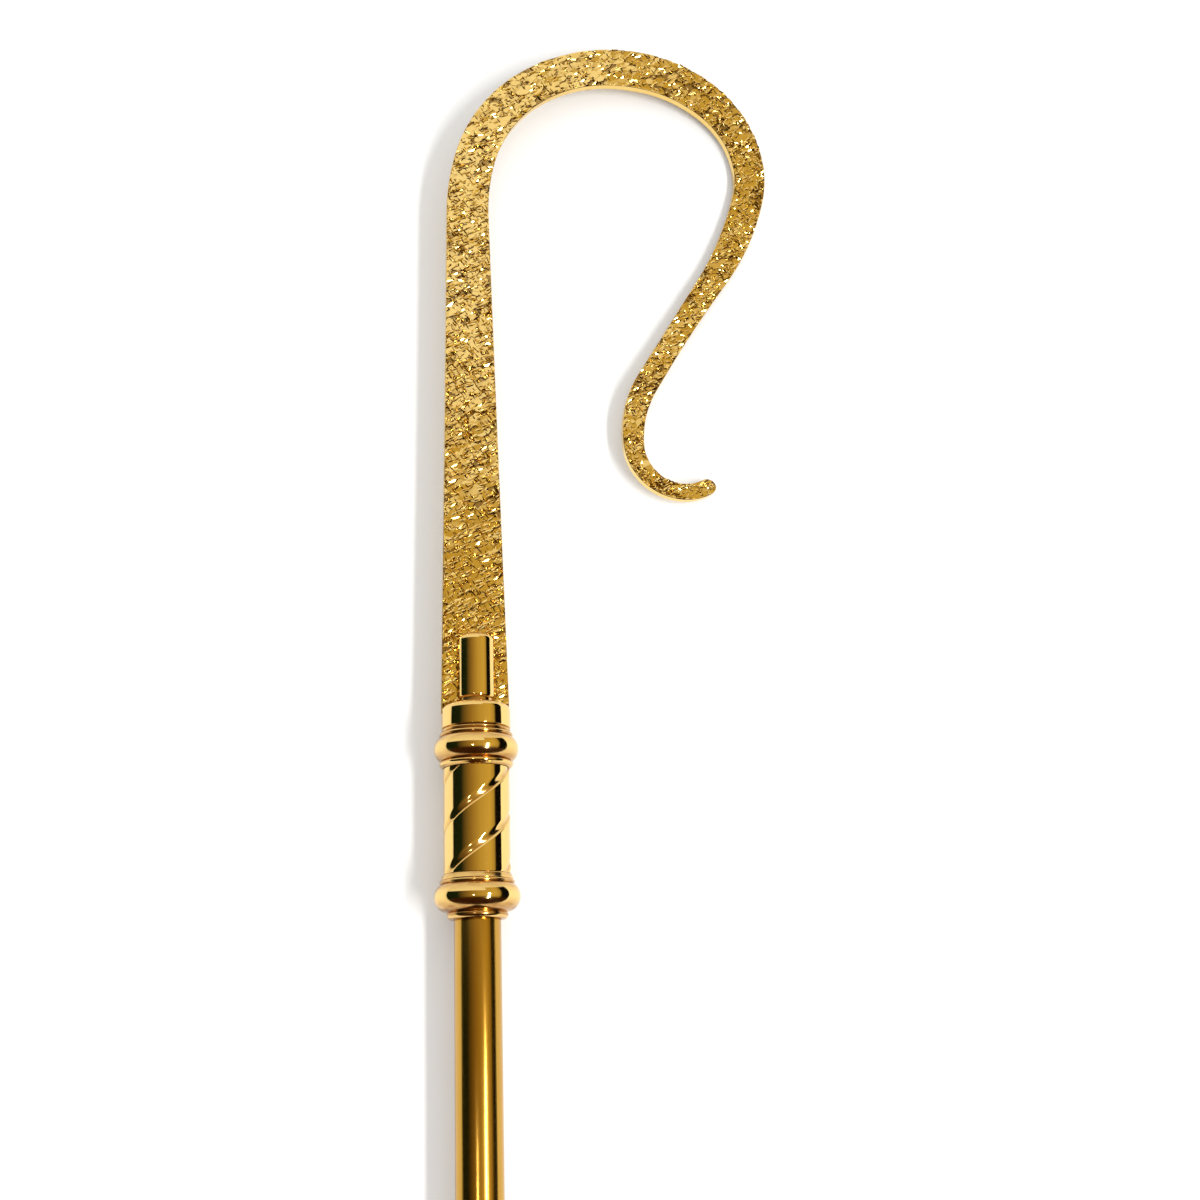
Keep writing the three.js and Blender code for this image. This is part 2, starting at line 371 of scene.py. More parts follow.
class Gilding(Enum):
    """The finishes that the crosier is made in, under their slot names."""

    # The fourth colour of each finish is the painted shade in its hollows, and on the brass the colour of its
    # brushing streaks.
    HAMMERED = HammeredGold("hammered_gold", (0.92, 0.66, 0.23), (0.88, 0.60, 0.18), (0.15, 0.055, 0.01), 0.08)
    POLISHED = PolishedGold("polished_gold", (0.87, 0.60, 0.21), (0.84, 0.56, 0.18), (0.30, 0.10, 0.02), 0.05)
    SATIN = SatinBrass("satin_brass", (0.56, 0.32, 0.055), (0.50, 0.27, 0.04), (0.40, 0.20, 0.03), 0.17)


# ---- The staff lying down ----


@dataclass(frozen=True)
class RestingPose:
    """Where the staff's frame is when the crosier lies on its foot, knop and crook."""

    tip: float
    roll: float
    origin: Vector

    def rotation(self) -> Matrix:
        """The turn from the staff's frame to the row's."""
        return Matrix.Rotation(self.tip, 4, "X") @ Matrix.Rotation(self.roll, 4, "Y")

    def matrix(self) -> Matrix:
        """The change from the staff's millimetres to the row's metres."""
        return Matrix.Translation(self.origin) @ self.rotation() @ Matrix.Scale(MM, 4)


# ---- Meshes ----


def mesh_of(name: str, points: np.ndarray, faces: list[tuple[int, ...]]) -> bpy.types.Mesh:
    """A mesh from points and faces.

    Args:
        name: The mesh's name.
        points: One row of coordinates for each point.
        faces: The corners of each face.

    Returns:
        The mesh.
    """
    mesh = bpy.data.meshes.new(name)
    mesh.from_pydata([tuple(map(float, point)) for point in points], [], faces)
    mesh.update()
    return mesh


def settle(mesh: bpy.types.Mesh, crease: float) -> None:
    """Turns a closed mesh's faces outwards and keeps its steep edges sharp.

    Args:
        mesh: The mesh, which is changed.
        crease: The angle in degrees past which an edge stays sharp.
    """
    shape = bmesh.new()
    shape.from_mesh(mesh)
    bmesh.ops.dissolve_degenerate(shape, dist=1e-4, edges=shape.edges)
    bmesh.ops.recalc_face_normals(shape, faces=shape.faces)
    if shape.calc_volume(signed=True) < 0:
        bmesh.ops.reverse_faces(shape, faces=shape.faces)
    for face in shape.faces:
        face.smooth = True
    limit = math.radians(crease)
    for edge in shape.edges:
        edge.smooth = edge.is_manifold and edge.calc_face_angle(0.0) < limit
    shape.to_mesh(mesh)
    shape.free()


def show(name: str, mesh: bpy.types.Mesh, pose: RestingPose, node: str, finish: Gilding) -> bpy.types.Object:
    """Lays a finished mesh down in the place of its CAD node.

    Args:
        name: The piece's name.
        mesh: Its mesh, in the staff's frame.
        pose: How the staff lies.
        node: The CAD node that the piece stands for.
        finish: The finish whose slot it takes.

    Returns:
        The piece's object.
    """
    mesh.transform(pose.matrix())
    piece = bpy.data.objects.new(name, mesh)
    bpy.context.scene.collection.objects.link(piece)
    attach(piece, "root")
    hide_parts(node)
    triangles = sum(len(face.vertices) - 2 for face in mesh.polygons)
    log.info("%s: %d triangles in %s", name, triangles, finish.value.name)
    return piece


# ---- Turned pieces ----


@dataclass(frozen=True)
class Ring:
    """A turned ring: its outermost radius, the height of its middle and its section's radius."""

    radius: float
    height: float
    thickness: float

    def round(self, start: float, end: float, steps: int) -> Profile:
        """The part of the section's circle between two angles in degrees."""
        return arc(self.radius - self.thickness, self.height, self.thickness, start, end, steps)


def arc(radius: float, height: float, size: float, start: float, end: float, steps: int) -> Profile:
    """Points along a round stretch of a turned profile.

    Args:
        radius: How far the round's centre is from the axis.
        height: How high it is.
        size: The round's own radius.
        start: The first angle in degrees, from straight outwards.
        end: The last angle.
        steps: How many steps lie between them.

    Returns:
        The points, as pairs of radius and height.
    """
    angles = np.radians(np.linspace(start, end, steps + 1))
    return [(radius + size * math.cos(a), height + size * math.sin(a)) for a in angles]


@dataclass
class Turning:
    """A piece turned on the lathe, drawn by a tree that carries its profile round the axis."""

    name: str
    finish: Gilding
    facets: int = 144
    crease: float = 38.0
    trim: float = 0.13
    groove_depth: float = 0.0
    starts: float = 3.0
    lead: float = 68.0
    groove_at_front: float = 30.7
    ramp_width: float = 4.4
    step_width: float = 1.0

    def profile(self) -> Profile:
        """The outline from the foot of the axis to its head, as pairs of radius and height."""
        raise NotImplementedError

    def recesses(self, profile: np.ndarray) -> np.ndarray:
        """How deep each point of the profile lies between its higher neighbours, the mask of the painted shade
        in its hollows.

        Args:
            profile: The profile's points.

        Returns:
            A number from 0 to 1 for each point.
        """
        reach, full = 2.6, 1.6
        near = np.abs(profile[:, None, 1] - profile[None, :, 1]) < reach
        crest = np.where(near, profile[None, :, 0], 0.0).max(axis=1)
        return np.clip((crest - profile[:, 0]) / full, 0.0, 1.0)

    def seed(self) -> bpy.types.Mesh:
        """The profile as loose points that hold radius, height and the mask of painted shade in hollows,
        trimmed to lie in its solid.
        """
        profile = np.array(self.profile())
        recesses = self.recesses(profile)
        radii = np.maximum(profile[:, 0] - self.trim, 0.0)
        return mesh_of(self.name, np.column_stack([radii, profile[:, 1], recesses]), [])

    def tree(self) -> ShapeTree:
        """The tree that turns the profile, and twists it where it has grooves."""
        sizes = {
            "Facets": self.facets,
            "Groove Depth": self.groove_depth,
            "Starts": self.starts,
            "Lead": self.lead,
            "Groove At Front": self.groove_at_front,
            "Ramp Width": self.ramp_width,
            "Step Width": self.step_width,
        }
        tree = ShapeTree(f"turned_{self.name}", sizes, self.finish.value.made())
        given = tree.given
        domain = tree.node("GeometryNodeAttributeDomainSize", {"Geometry": given["Geometry"]})
        count = domain.outputs["Point Count"]
        around = tree.math("ADD", given["Facets"], 1.0)
        grid = tree.node("GeometryNodeMeshGrid", {"Vertices X": count, "Vertices Y": around})
        index = tree.node("GeometryNodeInputIndex").outputs[0]
        row = tree.math("FLOOR", tree.math("DIVIDE", tree.math("ADD", index, 0.5), around))
        column = tree.math("SUBTRACT", index, tree.math("MULTIPLY", row, around))
        place = tree.node("GeometryNodeInputPosition").outputs[0]
        point = tree.node(
            "GeometryNodeSampleIndex", {"Geometry": given["Geometry"], "Value": place, "Index": row},
            data_type="FLOAT_VECTOR",
        ).outputs[0]
        radius, height, recess_shade = tree.separate(point)
        turn = tree.math("DIVIDE", column, given["Facets"])
        dip, inside = self.groove(tree, turn)
        twist = tree.math("DIVIDE", tree.math("SUBTRACT", height, given["Groove At Front"]), given["Lead"])
        twisted = tree.math("MULTIPLY", twist, tree.math("GREATER_THAN", given["Groove Depth"], 0.0))
        angle = tree.math("MULTIPLY", tree.math("SUBTRACT", twisted, turn), math.tau)
        reach = tree.math("SUBTRACT", radius, tree.math("MINIMUM", dip, radius))
        spot = tree.combine(
            tree.math("MULTIPLY", reach, tree.math("SINE", angle)),
            height,
            tree.math("MULTIPLY", reach, tree.math("COSINE", angle)),
        )
        placed = tree.node("GeometryNodeSetPosition", {"Geometry": grid.outputs[0], "Position": spot})
        # The depth between the rings and the share of the grip's groove are stored as the mask of the painted
        # shade in the hollows.
        marked = tree.node(
            "GeometryNodeStoreNamedAttribute",
            {"Geometry": placed.outputs[0], "Name": "recess_shade", "Value": tree.math("MAXIMUM", recess_shade, inside)},
            data_type="FLOAT", domain="POINT",
        )
        merged = tree.node("GeometryNodeMergeByDistance", {"Geometry": marked.outputs[0], "Distance": 1e-3})
        tree.close(merged.outputs[0])
        return tree

    def groove(self, tree: ShapeTree, turn: bpy.types.NodeSocket) -> tuple[bpy.types.NodeSocket, ...]:
        """The depth of the twisted grooves at a share of the way round.

        Args:
            tree: The tree that the nodes go into.
            turn: The share of a turn behind the groove's line.

        Returns:
            The depth, and the painted shade in the groove, 0.6 of how deep it is as a share of the whole.
        """
        given = tree.given
        pitch = tree.math("DIVIDE", given["Lead"], given["Starts"])
        rise = tree.math("WRAP", tree.math("MULTIPLY", turn, given["Lead"]), pitch, 0.0)
        ramp = tree.math("MINIMUM", tree.math("DIVIDE", rise, given["Ramp Width"]), 1.0)
        swing = tree.math("COSINE", tree.math("MULTIPLY", ramp, math.pi))
        gentle = tree.math("MULTIPLY_ADD", swing, 0.5, 0.5)
        left = tree.math("SUBTRACT", rise, tree.math("SUBTRACT", pitch, given["Step Width"]))
        steep = tree.math("DIVIDE", left, given["Step Width"], clamp=True)
        share = tree.math("MAXIMUM", gentle, steep)
        dip = tree.math("MULTIPLY", share, given["Groove Depth"])
        shade = tree.math("MULTIPLY", share, tree.math("GREATER_THAN", given["Groove Depth"], 0.0))
        return dip, tree.math("MULTIPLY", shade, 0.6)

    def mesh(self) -> bpy.types.Mesh:
        """The piece's finished mesh, in the staff's frame."""
        mesh = self.tree().grow(self.name, self.seed())
        settle(mesh, self.crease)
        return mesh

    def build(self, pose: RestingPose) -> bpy.types.Object:
        """Makes the piece and lays it down."""
        return show(f"{self.name}_finish", self.mesh(), pose, self.name, self.finish)


@dataclass
class Pole(Turning):
    """The long plain tube."""

    name: str = "pole"
    finish: Gilding = Gilding.SATIN
    radius: float = 11.0
    foot: float = -1370.0
    head: float = 10.0
    edge: float = 0.4

    def profile(self) -> Profile:
        """A straight side with eased ends."""
        inner = self.radius - self.edge
        return [
            (0.0, self.foot),
            *arc(inner, self.foot + self.edge, self.edge, -90, 0, 3),
            *[(self.radius, self.foot + (self.head - self.foot) * i / 12) for i in range(1, 12)],
            *arc(inner, self.head - self.edge, self.edge, 0, 90, 3),
            (0.0, self.head),
        ]


@dataclass
class FootFerrule(Turning):
    """A plain cap on the foot of the pole, with a ring round its mouth."""

    name: str = "foot_ferrule"
    finish: Gilding = Gilding.POLISHED
    pole: Pole = field(default_factory=Pole)
    foot: float = -1375.0
    mouth: float = -1338.0
    radius: float = 12.6
    edge: float = 2.0
    ring: float = 0.9
    step: float = 0.6

    def profile(self) -> Profile:
        """A round-edged cap, a ring at its mouth and the bore that takes the pole."""
        bore = self.pole.radius + FIT_GAP
        ring_radius = self.radius + self.step
        groove = self.mouth - 2 * self.ring - 1.6
        return [
            (0.0, self.foot),
            *arc(self.radius - self.edge, self.foot + self.edge, self.edge, -90, 0, 10),
            (self.radius, groove),
            *arc(self.radius - 0.25, groove + 0.45, 0.25, -80, 80, 3),
            (self.radius, groove + 0.9),
            *arc(ring_radius - self.ring, self.mouth - self.ring, self.ring, -62, 90, 12),
            (bore, self.mouth),
            (bore, self.pole.foot - FIT_GAP),
            (0.0, self.pole.foot - FIT_GAP),
        ]


@dataclass
class LowerKnop(Turning):
    """The knop below the grip: a foot ring, a full bead and a thin ring under a shoulder."""

    name: str = "lower_knop"
    finish: Gilding = Gilding.POLISHED
    pole: Pole = field(default_factory=Pole)
    socket_depth: float = 12.0
    foot_ring: Ring = Ring(14.35, 0.0, 2.05)
    bead: Ring = Ring(20.25, 8.2, 6.85)
    neck_ring: Ring = Ring(17.6, 14.8, 0.95)
    shoulder: tuple[float, float] = (17.1, 16.0)
    top: tuple[float, float] = (15.9, 18.3)
    spigot_bore: float = 13.1
    spigot_seat: float = 15.5

    def profile(self) -> Profile:
        """The knop from the bore that takes the pole to the bore that takes the grip."""
        bore = self.pole.radius + FIT_GAP
        seat = self.pole.head + FIT_GAP
        return [
            (0.0, seat),
            (bore, seat),
            (bore, seat - self.socket_depth),
            *self.foot_ring.round(-85, 35, 14),
            *self.bead.round(-68, 66, 30),
            *self.neck_ring.round(-65, 75, 9),
            self.shoulder,
            *arc(self.top[0], self.top[1] - 0.5, 0.5, 0, 90, 4),
            (self.spigot_bore, self.top[1]),
            (self.spigot_bore, self.spigot_seat),
            (0.0, self.spigot_seat),
        ]


@dataclass
class TwistedGrip(Turning):
    """The grip between the knops, with three long grooves twisted round it."""

    name: str = "twisted_grip"
    finish: Gilding = Gilding.POLISHED
    facets: int = 252
    groove_depth: float = 0.75
    foot: float = 18.6
    head: float = 67.8
    radius: float = 15.75
    spigot_radius: float = 13.0
    spigot_length: float = 3.0
    rows: int = 96

    def profile(self) -> Profile:
        """A straight side between two spigots."""
        heights = np.linspace(self.foot, self.head, self.rows + 1)
        return [
            (0.0, self.foot - self.spigot_length),
            (self.spigot_radius, self.foot - self.spigot_length),
            (self.spigot_radius, self.foot),
            *[(self.radius, float(height)) for height in heights],
            (self.spigot_radius, self.head),
            (self.spigot_radius, self.head + self.spigot_length),
            (0.0, self.head + self.spigot_length),
        ]


@dataclass
class CrookSocket(Turning):
    """The upper knop, its collar and the split nose that grips the crook's foot."""

    name: str = "crook_socket"
    finish: Gilding = Gilding.POLISHED
    foot: tuple[float, float] = (15.9, 68.1)
    lip: Ring = Ring(17.65, 70.0, 1.15)
    bead: Ring = Ring(20.2, 77.3, 6.8)
    neck_ring: Ring = Ring(17.55, 83.9, 0.95)
    groove_radius: float = 15.9
    fine_ring: Ring = Ring(16.5, 86.1, 0.6)
    collar: Ring = Ring(16.6, 98.6, 3.0)
    collar_foot: float = 87.3
    neck_radius: float = 8.8
    nose_radius: float = 9.8
    nose_foot: float = 101.0
    nose_top: float = 133.4
    foot_rounding: float = 2.2
    top_rounding: float = 3.2
    slot_foot: float = 94.4
    slot_width: float = 5.1
    spigot_bore: float = 13.1
    spigot_seat: float = 71.1

    def profile(self) -> Profile:
        """The socket from the bore that takes the grip to the top of its nose."""
        neck_reach = self.neck_radius - self.nose_radius + self.foot_rounding
        nose_start = -math.degrees(math.acos(neck_reach / self.foot_rounding))
        top = self.collar.height
        rounding = self.collar.thickness
        return [
            (0.0, self.spigot_seat),
            (self.spigot_bore, self.spigot_seat),
            (self.spigot_bore, self.foot[1]),
            self.foot,
            *self.lip.round(-70, 60, 10),
            *self.bead.round(-64, 66, 30),
            *self.neck_ring.round(-65, 60, 8),
            (self.groove_radius, self.neck_ring.height + self.neck_ring.thickness),
            *self.fine_ring.round(-60, 60, 6),
            (self.groove_radius, self.collar_foot - FIT_GAP),
            *arc(self.collar.radius - 0.3, self.collar_foot + 0.3, 0.3, -90, 0, 4),
            *arc(self.collar.radius - rounding, top - rounding, rounding, 0, 90, 14),
            *arc(self.neck_radius + 0.8, top + 0.8, -0.8, 90, 0, 5),
            *arc(self.nose_radius - self.foot_rounding, self.nose_foot + self.foot_rounding,
                 self.foot_rounding, nose_start, 0, 8),
            *arc(self.nose_radius - self.top_rounding, self.nose_top - self.top_rounding,
                 self.top_rounding, 0, 90, 14),
            (0.0, self.nose_top),
        ]

    def mesh(self) -> bpy.types.Mesh:
        """The turned socket with the slot cut through it for the crook."""
        blank = bpy.data.objects.new("socket_blank", self.tree().grow(self.name, self.seed()))
        settle(blank.data, self.crease)
        cutter = bpy.data.objects.new("slot_cutter", bpy.data.meshes.new("slot_cutter"))
        box = bmesh.new()
        bmesh.ops.create_cube(box, size=1.0)
        height = 2 * (self.nose_top - self.slot_foot)
        stretch = Matrix.Diagonal((4 * self.collar.radius, height, self.slot_width, 1.0))
        box.transform(Matrix.Translation((0.0, self.slot_foot + height / 2, 0.0)) @ stretch)
        box.to_mesh(cutter.data)
        box.free()
        for thing in (blank, cutter):
            bpy.context.scene.collection.objects.link(thing)
        cut = blank.modifiers.new("slot", "BOOLEAN")
        cut.object, cut.operation, cut.solver = cutter, "DIFFERENCE", "EXACT"
        graph = bpy.context.evaluated_depsgraph_get()
        mesh = bpy.data.meshes.new_from_object(blank.evaluated_get(graph))
        for thing in (blank, cutter):
            bpy.data.objects.remove(thing)
        settle(mesh, self.crease)
        return mesh


# ---- The crook ----


@dataclass(frozen=True)
class Bend:
    """One arc of the crook's centre line: its radius, and its sweep in degrees, positive to the right."""

    radius: float
    sweep: float


@dataclass(frozen=True)
class Chip:
    """One kind of chiselled facet that stands on the crook's faces.

    Its slant and spread are in degrees. Its three shares thin it out on the leg, on the rising half
    of the arch and on the falling side.
    """

    name: str
    density: float
    length: float
    width: float
    height: float
    slant: float
    spread: float
    lean: float
    sides: int
    crown: float
    shares: tuple[float, float, float]
    seed: int


@dataclass
class Crook:
    """The flat bar bent into the crook, chiselled all over its front and more plainly behind."""

    name: str = "crook"
    finish: Gilding = Gilding.HAMMERED
    foot: float = 94.7
    offset: float = -0.35
    lean: float = 0.415
    thickness: float = 4.9
    chamfer: float = 0.35
    leg: float = 268.3
    # The bends and the widths were found by fitting a bar to the crook's outline with a separate
    # program, and rounded to a tenth. They are the fit's output, not dimensions chosen by hand.
    bends: tuple[Bend, ...] = (
        Bend(132.6, 15.0), Bend(88.7, 83.6), Bend(70.2, 27.7), Bend(58.2, 69.1),
        Bend(183.0, 18.0), Bend(1760.0, -2.4), Bend(61.0, -35.2), Bend(25.7, -125.5),
    )
    widths: tuple[tuple[float, float], ...] = (
        (0, 33.1), (165, 26.3), (318, 21.2), (380, 21.5), (426, 23.6), (464, 23.1), (502, 19.4), (533, 17.5),
        (563, 16.8), (602, 13.8), (640, 12.6), (671, 12.9), (702, 11.4), (732, 9.3), (763, 8.8),
    )
    trim: float = 0.14
    row_step: float = 1.2
    column_step: float = 3.0
    tip_rows: int = 12
    edge: float = 0.14
    relief: float = 0.9
    back_relief: float = 0.45
    crease: float = 14.0

    def length(self) -> float:
        """The length of the centre line."""
        return self.leg + sum(math.radians(abs(b.sweep)) * b.radius for b in self.bends)

    def path(self, along: np.ndarray) -> np.ndarray:
        """The centre line.

        Args:
            along: Distances along it.

        Returns:
            For each distance its x, its y and its heading in radians.
        """
        heading = math.pi / 2 + math.radians(self.lean)
        x, y = self.offset, self.foot
        done = np.minimum(along, self.leg)
        spots = np.column_stack([
            x + done * math.cos(heading), y + done * math.sin(heading), np.full(len(along), heading),
        ])
        x, y, start = x + self.leg * math.cos(heading), y + self.leg * math.sin(heading), self.leg
        for bend in self.bends:
            side = math.copysign(1.0, bend.sweep)
            angle = math.radians(abs(bend.sweep))
            turned = np.clip((along - start) / bend.radius, 0.0, angle)
            centre_x = x + side * bend.radius * math.sin(heading)
            centre_y = y - side * bend.radius * math.cos(heading)
            facing = heading - side * turned
            here = np.column_stack([
                centre_x - side * bend.radius * np.sin(facing),
                centre_y + side * bend.radius * np.cos(facing),
                facing,
            ])
            spots[along > start] = here[along > start]
            heading -= side * angle
            x = centre_x - side * bend.radius * math.sin(heading)
            y = centre_y + side * bend.radius * math.cos(heading)
            start += angle * bend.radius
        return spots

    def half_width(self, along: np.ndarray) -> np.ndarray:
        """Half the bar's width, with smooth changes between its sizes.

        Args:
            along: Distances along the centre line.

        Returns:
            Half the width at each of them.
        """
        stations, sizes = (np.array(column, float) for column in zip(*self.widths))
        numbers = np.arange(len(stations))
        low = np.maximum(numbers - 1, 0)
        high = np.minimum(numbers + 1, len(stations) - 1)
        slopes = (sizes[high] - sizes[low]) / (stations[high] - stations[low])
        near = np.clip(np.searchsorted(stations, along, side="right") - 1, 0, len(stations) - 2)
        span = stations[near + 1] - stations[near]
        t = np.clip((along - stations[near]) / span, 0.0, 1.0)
        width = (
            sizes[near] * (1 + 2 * t) * (1 - t) ** 2
            + sizes[near + 1] * t**2 * (3 - 2 * t)
            + span * (slopes[near] * t * (1 - t) ** 2 + slopes[near + 1] * t**2 * (t - 1))
        )
        return width / 2 - self.trim

    def edge_reach(self) -> tuple[float, float]:
        """The point of the outline furthest towards the bend.

        Returns:
            Its x and its y.
        """
        along = np.linspace(self.leg, self.length() - 20.0, 4000)
        spots = self.path(along)
        reach = self.half_width(along) + self.trim
        outer = np.column_stack([
            spots[:, 0] - reach * np.sin(spots[:, 2]), spots[:, 1] + reach * np.cos(spots[:, 2]),
        ])
        return tuple(outer[outer[:, 0].argmax()])

    def rows(self, inset: float) -> tuple[np.ndarray, np.ndarray]:
        """The bar's cross rows, with a round tip.

        Args:
            inset: How far the rows stop short of the bar's side.

        Returns:
            Each row's distance along the centre line and its half width.
        """
        end = self.length() - self.trim
        tip = float(self.half_width(np.array([end]))[0])
        straight = np.linspace(0.0, end - tip, int((end - tip) / self.row_step) + 1)
        turn = np.radians(np.linspace(0.0, 86.0, self.tip_rows + 1)[1:])
        along = np.concatenate([straight, end - tip + (tip - inset) * np.sin(turn)])
        half = np.concatenate([self.half_width(straight) - inset, (tip - inset) * np.cos(turn)])
        return along, half

    def mesh(self) -> bpy.types.Mesh:
        """The bar between its two chiselled faces."""
        sheet = BarSheet(self)
        front, back = self.thickness / 2 - self.relief, self.back_relief - self.thickness / 2
        loops = [
            sheet.grid(self.edge, front, self.column_step, polished=0.0),
            sheet.grid(0.0, front - self.edge, None, polished=1.0),
            sheet.grid(0.0, back + self.edge, None, polished=1.0),
            sheet.grid(self.edge, back, self.column_step, polished=0.0),
        ]
        sheet.fill(loops[0])
        sheet.fill(loops[-1])
        for upper, lower in zip(loops, loops[1:]):
            sheet.join(upper, lower)
        sheet.cap(loops, 0)
        sheet.cap(loops, -1)
        bare = mesh_of(self.name, np.concatenate(sheet.points), sheet.faces)
        for name, values in (("polished", sheet.polish), ("along", sheet.along)):
            bare.attributes.new(name, "FLOAT", "POINT").data.foreach_set("value", np.concatenate(values))
        settle(bare, self.crease)
        struck = ChiselWork(self).tree().grow(self.name, bare)
        settle(struck, self.crease)
        return struck

    def build(self, pose: RestingPose) -> bpy.types.Object:
        """Makes the crook and lays it down."""
        return show("crook_finish", self.mesh(), pose, self.name, self.finish)


class BarSheet:
    """Points and faces of the crook while its surfaces are sewn together row by row."""

    def __init__(self, crook: Crook) -> None:
        """Starts with no points."""
        self.crook = crook
        self.points: list[np.ndarray] = []
        self.polish: list[np.ndarray] = []
        self.along: list[np.ndarray] = []
        self.faces: list[tuple[int, ...]] = []
        self.count = 0

    def grid(self, inset: float, level: float, step: float | None, polished: float) -> list[list[int]]:
        """Adds the points of one surface, or of one line along both sides of the bar.

        Args:
            inset: How far it stops short of the bar's side.
            level: Its height above the bar's middle plane.
            step: The space between points across the bar, or None for its two sides alone.
            polished: What the points carry, 1 on the smooth sides and 0 on the faces.

        Returns:
            The numbers of each row's points, from left to right.
        """
        along, half = self.crook.rows(inset)
        numbers = []
        for (x, y, heading), reach, station in zip(self.crook.path(along), half, along):
            columns = 2 if step is None else max(2, round(2 * reach / step) + 1)
            across = np.linspace(1.0, -1.0, columns) * max(reach, 0.02)
            self.points.append(np.column_stack([
                x - across * math.sin(heading), y + across * math.cos(heading), np.full(columns, level),
            ]))
            self.polish.append(np.full(columns, polished))
            self.along.append(np.full(columns, station))
            numbers.append(list(range(self.count, self.count + columns)))
            self.count += columns
        return numbers

    def zip_lines(self, first: list[int], second: list[int]) -> None:
        """Sews triangles between two lines of points that run side by side.

        Args:
            first: The numbers of one line's points.
            second: The numbers of the other's.
        """
        i, j = 0, 0
        while i < len(first) - 1 or j < len(second) - 1:
            ahead = (i + 1) * (len(second) - 1) <= (j + 1) * (len(first) - 1)
            if j == len(second) - 1 or (ahead and i < len(first) - 1):
                self.faces.append((first[i], first[i + 1], second[j]))
                i += 1
            else:
                self.faces.append((first[i], second[j + 1], second[j]))
                j += 1

    def fill(self, rows: list[list[int]]) -> None:
        """Sews each row of a surface to the next."""
        for near, far in zip(rows, rows[1:]):
            self.zip_lines(near, far)

    def join(self, upper: list[list[int]], lower: list[list[int]]) -> None:
        """Sews the left and right edges of two levels together."""
        for side in (0, -1):
            self.zip_lines([row[side] for row in upper], [row[side] for row in lower])

    def cap(self, loops: list[list[list[int]]], end: int) -> None:
        """Closes the bar at its foot (end 0) or at its tip (end -1)."""
        right = [rows[end][-1] for rows in loops[1:-1]]
        left = [rows[end][0] for rows in reversed(loops[1:-1])]
        self.faces.append((*loops[0][end], *right, *reversed(loops[-1][end]), *left))


